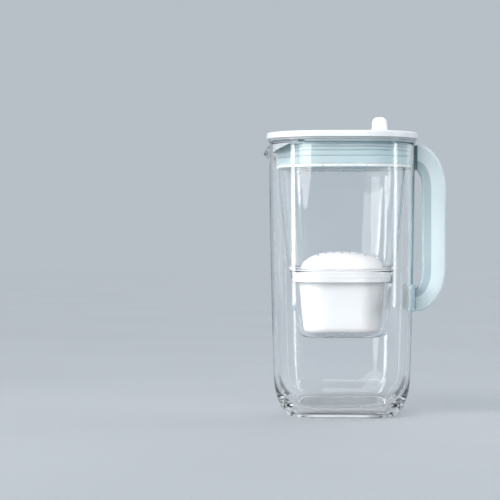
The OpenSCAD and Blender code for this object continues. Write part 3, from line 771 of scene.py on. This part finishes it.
def make_collar():
    plan = plan_of(collar_outline())
    # The flange stands out round the mouth, and fades out towards the wedge
    inside_wedge = WEDGE_SLOPE * (plan[:, 0] - WEDGE_APEX_X) - np.abs(plan[:, 1])
    weight = np.clip(inside_wedge / 3 - 0.2, 0, 1)

    def level(r, z):
        loop = ring(plan, min(r, 0), z)
        loop[:, :2] += plan[:, 2:] * (max(r, 0) * weight)[:, None]
        return loop

    profile = [(-1.5, 256.1), (-0.5, 256.1), (-0.12, 256.25), (0, 256.6), (0, 258.4)]
    for z, h in GROOVES:
        profile += [(0, z - 0.35), (-0.12, z - 0.12), (-0.5, z + 0.1), (-0.55, z + h / 2)]
        profile += [(-0.5, z + h - 0.1), (-0.12, z + h + 0.12), (0, z + h + 0.35)]
    profile += [(0, 277.9), (0.15, 278.3), (0.6, 278.4), (4.1, 278.4), (4.6, 278.55), (4.8, 279), (4.8, 280)]
    profile += [(4.6, 280.45), (4.1, 280.6), (-1.5, 280.6), (-2.05, 280.45), (-2.2, 280)]
    profile += [(-2.2, 256.6), (-2.05, 256.2)]
    obj = solid("collar_band", shell([level(r, z) for r, z in profile], closed=True))
    finish_piece(obj, "hopper", ICE, ["pouring_collar"])
    past = 0.15  # how far the painted shade goes past a groove's foot and top
    # The groove faces take the darker blue: painted shade in the grooves
    second_material(
        obj, GROOVE_SHADE, lambda face: any(z - past < face.center[2] / MM < z + h + past for z, h in GROOVES)
    )


def make_tank():
    """One loft up the outside and down the inside, then the rim's flange and the holes in the floor."""
    turn_r, turn_z = 18.7, 96  # centre of the bend at the socket's foot
    top_z = 254.5
    wall_z = np.linspace(252.6, 150.6, 20)

    socket_out = [(10, 80.5), (17.5, 80.5)] + arc(turn_r, turn_z, 9.8, 15.5, -90, 0, 12)
    socket_out += [(28.5 + 5.5 * (z - turn_z) / 40.9, z) for z in np.linspace(turn_z, 136.9, 8)[1:]]
    socket_out += [(34.6, 145.7), (34.8, 146.7), (35.3, 147.3), (36.1, 147.5)]
    wall_out = [(32.4, 147.5), (33.3, 147.8), (33.8, 148.6), (33.9, 149.6)]
    wall_out += [(tank_r(z), z) for z in wall_z[::-1]] + [(TANK_R, top_z)]
    wall_in = [(TANK_R - TANK_WALL, top_z)] + [(tank_r(z) - TANK_WALL, z) for z in wall_z[:-1]]
    wall_in += [(31.9, 151.4), (31.5, 150.5), (30.6, 150.05)]
    # From the deck down past the ledge that the cartridge's flange sits on
    socket_in = [(33.2, DECK_Z), (32.7, 149.8), (32.5, 149.2), (32.5, 137.3), (32.3, 136.95)]
    socket_in += [(31.1, 136.9), (30.7, 136.75), (30.6, 136.3), (30.6, 134.5)]
    socket_in += [(26.9 + 3.7 * (z - turn_z) / 38.5, z) for z in np.linspace(134.5, turn_z, 8)[1:]]
    socket_in += arc(turn_r, turn_z, 8.2, 13.7, 0, -90, 12)[1:] + [(10, 82.3)]
    loops = stack(cup_plan, socket_out) + stack(tank_plan, wall_out + wall_in) + stack(cup_plan, socket_in)
    obj = solid("hopper_funnel", shell(loops))

    # The rim flange under the collar, with the hopper's mouth cut through it
    low, high = 253.2, 256
    rim_outline = [tuple(p[:2]) for p in ring(tank_plan, TANK_R, 0)]
    mouth = [tuple(p[:2]) for p in ring(tank_plan, 42.95, 0)]
    plate = solid("plate", prism(collar_outline(), edges(low, high, 0.5, 0.3)))
    add(plate, prism(rim_outline, edges(low + 0.05, high - 0.05, 0.4, 0.3)))
    cut(plate, prism(mouth, [(0, high - 6), (0, high + 4)]))
    combine(obj, "UNION", plate)

    # The holes in the socket's floor
    half_x, half_y = 5, 2.5
    for x in (-22.5, -7.5, 7.5, 22.5):
        for y in (-8, 8):
            hole = rounded(rectangle(x - half_x, y - half_y, x + half_x, y + half_y), 1.2, 4)
            cut(obj, prism(hole, [(0, 78), (0, 85)]))
    finish_piece(obj, "hopper", TANK, ["hopper_tank"], clear=True)
    corners, frosted = obj.data.vertices, (low - 0.1) * MM
    second_material(obj, TANK_RIM, lambda face: min(corners[v].co.z for v in face.vertices) > frosted)


# ---------- lid ----------


def flap_outline(r, back_x, slot_half=None, slot_x=None):
    """A disc round the flap's centre cut straight at back_x, with the hinge's tongue or slot behind it."""
    y = math.sqrt(r * r - (back_x - FLAP_X) ** 2)
    start = math.degrees(math.atan2(-y, back_x - FLAP_X))
    disc = arc(FLAP_X, 0, r, r, start, -start, 96)
    tail = []
    if slot_half is not None:
        tail = [(back_x, slot_half), (slot_x, slot_half), (slot_x, -slot_half), (back_x, -slot_half)]
    corner = 0.8
    return rounded(disc + tail, [corner] + [0] * (len(disc) - 2) + [corner] * (1 + len(tail)), 4)


def hole_levels(low, high, flare):
    """A cutter's levels, widening at the top face into a small round-over."""
    return [(0, low), (0, high - flare), (flare * 0.3, high - flare * 0.35), (flare, high), (flare, high + 3)]


def make_lid():
    top = [(8, LID_TOP), (30, LID_TOP), (48, LID_TOP)] + arc(52.8, 287.1, 2.2, 2.2, 90, 0, 8)
    side = [(55, 284.5), (55, 283.3), (54.85, 283.0), (54.5, 282.9)]
    side += [(53.3, 282.9), (52.95, 283.0), (52.8, 283.3), (52.8, 286.2)]
    under = [(52.5, 287.0), (51.8, 287.3), (30, 287.3), (8, 287.3)]
    obj = solid("lid_cover", shell(stack(jug_plan, top + side + under)))
    cut(obj, prism(flap_outline(52.6, -26.4, 36.1, -31.6), hole_levels(284, LID_TOP, 0.4)))
    cut(obj, prism(stadium(BUTTON_X, 0, BUTTON_HALF, 3.6, True), hole_levels(284, LID_TOP, 0.4)))
    finish_piece(obj, "lid", WHITE, ["lid_top"], 32)


def thumb_tab():
    """The flap's tab: flared at its foot, slightly tapered, round at the top."""
    foot, height, turn = LID_TOP - 0.1, 17.4, 3.2  # turn is the radius of the rounded top edges
    half_thick = 4.5
    rows = [(9.9, 5.7, foot - 0.4), (9.5, 5.3, foot), (9.0, 4.85, foot + 0.55), (8.72, 4.6, foot + 1.5)]
    rows += [(8.45, half_thick, foot + 4), (8.0, half_thick, foot + 8.5)]
    for t in np.radians([8, 20, 32, 44, 56, 66, 75, 83, 90]):
        z = foot + 11.8 + 5.6 * math.sin(t)
        over = max(0, (z - (foot + height - turn)) / turn)
        hy = half_thick - turn + turn * math.sqrt(max(0, 1 - over * over))
        rows.append((2.1 + 5.6 * math.cos(t), hy, z))
    rings = []
    for hx, hy, z in rows:
        outline = rounded(rectangle(TAB_X - hx, -hy, TAB_X + hx, hy), min(hy, hx) * 0.62, 7)
        rings.append(np.array([(x, y, z) for x, y in outline]))
    return shell(rings)


def make_flap():
    """The round plate with a rib underneath, the bored hinge knuckle and the tab."""
    knuckle_r, knuckle_length, bore_r = 2.4, 62, 0.96
    obj = solid("fill_flap", prism(flap_outline(52, -24.6, 31, -28.2), edges(287.1, LID_TOP, 0.3, 0.45)))
    rib = solid("rib", prism(flap_outline(44.5, -20.5), edges(284.5, 287.4, 0.3, 0)))
    cut(rib, prism(flap_outline(43, -19), [(0, 283), (0, 289)]))
    combine(obj, "UNION", rib)
    add(obj, lathe(rod(knuckle_r, knuckle_length, 0.5), (HINGE_X, 0, HINGE_Z), "y"))
    cut(obj, lathe(rod(bore_r, knuckle_length + 18, 0.1), (HINGE_X, 0, HINGE_Z), "y", 24))
    add(obj, thumb_tab())
    finish_piece(obj, "flap", WHITE, ["flip_flap"], 34)


def make_spout_flap():
    """A plate with a rounded foot, hung from a barrel with a pin at each end."""
    half, top, low = 6.6, 278.3, 273.6
    front_x, back_x = -72.7, -71.5
    axis = (-72.1, 0, top)
    outline = [(half, top), (-half, top)] + arc(0, low, half, half / 2, 180, 360, 20)
    obj = solid("pour_flap", prism(outline, edges(front_x, back_x, 0.3, 0.3), "x"))
    add(obj, lathe(rod(1.3, 2 * half, 0.3), axis, "y", 32), lathe(rod(0.8, 15.6, 0.2), axis, "y", 24))
    finish_piece(obj, "pour_flap", WHITE, ["spout_flap"])


def make_button():
    base = prism(stadium(BUTTON_X, 0, BUTTON_HALF, 4.5, True), edges(285.8, 286.8, 0.2, 0.25))
    button = prism(stadium(BUTTON_X, 0, BUTTON_HALF, 3.3, True), edges(286, 289.1, 0.1, 0.5))
    obj = solid("light_button", button)
    add(obj, base)
    finish_piece(obj, "button", WINDOW, ["indicator_button"])


# ---------- cartridge ----------


def cut_slots(obj, xs, ys, mid, r, low, high):
    """Round-ended slots along Y, through the heights from low to high."""
    for x in xs:
        for y in ys:
            cut(obj, prism(stadium(x, y, mid, r, True, 8), [(0, low), (0, high)]))


def make_cap():
    dome_plan = plan_oval(15.7)

    def dome(inset, count):
        """Rings of the dome from its top down, inside its outer face by the inset."""
        a, rise = 27 - inset, 20 - inset
        rho = np.sin(np.linspace(0.06, 1, count) * math.pi / 2)
        z = DOME_Z + rise * np.maximum(0, 1 - rho**DOME_FULLNESS) ** (1 / DOME_FULLNESS)
        base = ring(dome_plan, a, 0)
        return [np.column_stack((base[:, :2] * p, np.full(len(base), h))) for p, h in zip(rho, z)]

    # From the foot of the dome out round the flange, and back under it to the inside
    flange = [(27.4, DOME_Z), (30.9, DOME_Z), (31.6, 148.35), (31.9, 147.7), (31.9, 137.7), (31.7, 137.2)]
    flange += [(31.2, 137), (30.4, 137), (30.3, 138.6), (27.7, 138.6), (27.6, 137), (26.3, 137)]
    flange += [(26.1, 137.2), (26.1, 140.1), (21.7, 140.1), (21.7, 148.4)]
    obj = solid("cartridge_top", shell(dome(0, 22) + stack(cup_plan, flange) + dome(1.6, 16)[::-1]))
    cut_slots(obj, range(-24, 25, 8), (-9, 9), 4, 1, 149.5, 175)
    finish_piece(obj, "cartridge", FILTER, ["cartridge_cap"], 40)


def cup_r(z, foot_r=21.7):
    """Offset of the cup's wall from its plan."""
    return foot_r + 4.3 * (z - 92) / 48


def crease(side):
    """The cutter of the slanted crease that runs round the end on one long side."""
    steps = 21
    rings = []
    for k in range(steps + 1):
        t = k / steps
        z = 128 - 25 * t
        a = math.radians(20 + 34 * t**1.4)
        r = cup_r(z) + 0.25
        width = 0.15 + 1.05 * math.sin(math.pi * t**0.8) ** 0.8
        centre = np.array((18.5 + r * math.cos(a), side * r * math.sin(a), z))
        out = np.array((math.cos(a), side * math.sin(a), 0))
        along = np.array((-math.sin(a), side * math.cos(a), 0))
        loop = [centre + width * (math.cos(q) * out + math.sin(q) * along) for q in full_turn(12)]
        rings.append(np.array(loop))
    return shell(rings)


def make_cup():
    inner_foot_r = 20.1
    outer = [(8, 84.5), (13.5, 84.5)] + arc(15.5, 92, 6.2, 7.5, -90, 0, 8)
    outer += [(cup_r(z), z) for z in np.linspace(92, 139.6, 10)[1:]] + [(25.8, 139.95)]
    inner = [(24.6, 139.95), (24.4, 139.6)]
    inner += [(cup_r(z, inner_foot_r), z) for z in np.linspace(139, 92, 8)[1:]]
    inner += arc(15.5, 92, 4.6, 5.9, -10, -90, 6) + [(8, 86.1)]
    obj = solid("cartridge_body", shell(stack(cup_plan, outer + inner)))
    cut_slots(obj, range(-18, 19, 9), (-6, 6), 3, 1.5, 82, 88)
    cut(obj, crease(-1))
    cut(obj, crease(1))
    finish_piece(obj, "cartridge", FILTER, ["cartridge_cup"], 40)


def make_seal():
    lip = [(31.95 + 0.28 * math.cos(q), 142.7 + 0.7 * math.sin(q)) for q in full_turn(12)]
    obj = solid("cartridge_lip_seal", shell(stack(cup_plan, lip), closed=True))
    finish_piece(obj, "cartridge", SEAL, ["cartridge_seal"])


make_glass()
make_handle_cover()
make_handle_liner()
make_screws()
make_upper_saddle()
make_lower_saddle()
make_collar()
make_tank()
make_lid()
make_flap()
make_spout_flap()
make_button()
make_cap()
make_cup()
make_seal()

# CAD nodes that keep their shape
for node, material in {
    "bond_pads": PAD,
    "lid_skirt": SMOKE,
    "flap_hinge_pin": STEEL,
    "indicator_housing": WHITE,
    "indicator_cover": WHITE,
    "indicator_board": board_look(),
    "coin_cell": CELL,
    "top_screen": fleece_look(),
    "bottom_screen": fleece_look(),
    "filter_media": granule_look(),
}.items():
    nodes[node].data.materials.clear()
    nodes[node].data.materials.append(material)


# ---------- floor, light and camera, in metres ----------


def stage_look(name, dark, light, rough):
    look = Look(name, Specular_IOR_Level=0.15)
    look.colour(look.noise(400, 2), dark, light)
    look.roughness(look.noise(60, 3), *rough)
    look.relief(look.noise(3, 3), 0.05)
    return look.material


def staged(name, corners, material):
    """A flat sheet that isn't part of the object."""
    mesh = bpy.data.meshes.new(name)
    mesh.from_pydata(corners, [], [tuple(range(len(corners)))])
    mesh.materials.append(material)
    obj = bpy.data.objects.new(name, mesh)
    bpy.context.scene.collection.objects.link(obj)
    return obj


JUG_MIDDLE = (0, 0, 0.15)


def light(kind, name, place, power, colour=(1, 1, 1), **values):
    """A light that shines at the jug's middle and that the camera doesn't see."""
    data = bpy.data.lights.new(name, kind)
    data.energy = power
    data.color = colour
    for key, value in values.items():
        setattr(data, key, value)
    obj = bpy.data.objects.new(name, data)
    bpy.context.scene.collection.objects.link(obj)
    obj.location = place
    obj.rotation_euler = (Vector(JUG_MIDDLE) - Vector(place)).to_track_quat("-Z", "Y").to_euler()
    obj.visible_camera = False


FLOOR_HALF = 14.0
floor_corners = [(x, y, 0) for x, y in rectangle(-FLOOR_HALF, -FLOOR_HALF, FLOOR_HALF, FLOOR_HALF)]
floor_look = stage_look("pale_floor", (0.468, 0.491, 0.519), (0.484, 0.507, 0.534), (0.75, 0.85))
staged("floor", floor_corners, floor_look)

light("SUN", "key", (-1.25, -1.9, 1.45), 2.3, (1, 0.985, 0.965), angle=math.radians(60))
light("SUN", "fill", (1.6, 1.9, 2.0), 0.7, (0.95, 0.975, 1), angle=math.radians(80))
light("AREA", "left_strip", (-1.4, -0.7, 0.5), 8, shape="RECTANGLE", size=0.25, size_y=1.3)
light("AREA", "right_strip", (1.5, -0.35, 0.5), 5, shape="RECTANGLE", size=0.2, size_y=1.3)

# Dark cards beyond both sides of the jug, seen by reflections alone: they draw dark lines in its glass edges
CARD_Y, CARD_LOW, CARD_HIGH = 1.0, 0.02, 1.0
card_look = stage_look("card_grey", (0.13, 0.15, 0.175), (0.15, 0.17, 0.195), (0.6, 0.8))
for name, x0, x1 in (("card_left", -1.1, -0.42), ("card_right", 0.46, 1.1)):
    card = staged(name, [(x, CARD_Y, z) for x, z in rectangle(x0, CARD_LOW, x1, CARD_HIGH)], card_look)
    card.visible_camera = card.visible_shadow = card.visible_diffuse = card.visible_transmission = False

# Two half-clear flags in the jug's foot, seen by the floor alone: the contact shadow of the clear glass
SHADE_ALPHA = 0.85
shade_look = stage_look("shade_grey", (0.2, 0.22, 0.24), (0.22, 0.24, 0.26), (0.7, 0.8))
shade_look.node_tree.nodes["Principled BSDF"].inputs["Alpha"].default_value = SHADE_ALPHA
for name, r, z in (("shade_low", 30, 3.5), ("shade_high", 40, 26)):
    shade = staged(name, [tuple(p) for p in ring(jug_plan, r, z) * MM], shade_look)
    shade.visible_camera = shade.visible_glossy = shade.visible_transmission = False

world = bpy.data.worlds.new("studio")
bpy.context.scene.world = world
world.use_nodes = True
sky = world.node_tree.nodes["Background"]
sky.inputs["Color"].default_value = (0.475, 0.52, 0.57, 1)
sky.inputs["Strength"].default_value = 1.0

# Camera: square on to the side, as the jug is drawn on the photographed carton, turned so that the
# jug stands where it does in the photograph
IMAGE_PX, SENSOR_MM = 500, 36
PHOTO_CENTRE_X_PX = 354.5
PX_PER_M = 970.0
DISTANCE, EYE_Z, MIDDLE_X = 2.0, 0.1700, 0.01285
focal_px = PX_PER_M * DISTANCE
camera_data = bpy.data.cameras.new("camera")
camera_data.sensor_width = SENSOR_MM
camera_data.lens = focal_px / IMAGE_PX * SENSOR_MM
camera = bpy.data.objects.new("camera", camera_data)
bpy.context.scene.collection.objects.link(camera)
yaw = math.atan((PHOTO_CENTRE_X_PX - IMAGE_PX / 2) / focal_px)
camera.location = (MIDDLE_X, -DISTANCE, EYE_Z)
camera.rotation_euler = (math.pi / 2, 0, yaw)
bpy.context.scene.camera = camera

bpy.context.scene.view_settings.view_transform = "Standard"
cycles = bpy.context.scene.cycles
cycles.use_denoising = True
cycles.max_bounces = cycles.transmission_bounces = 40  # light crosses many clear walls
cycles.glossy_bounces = 10
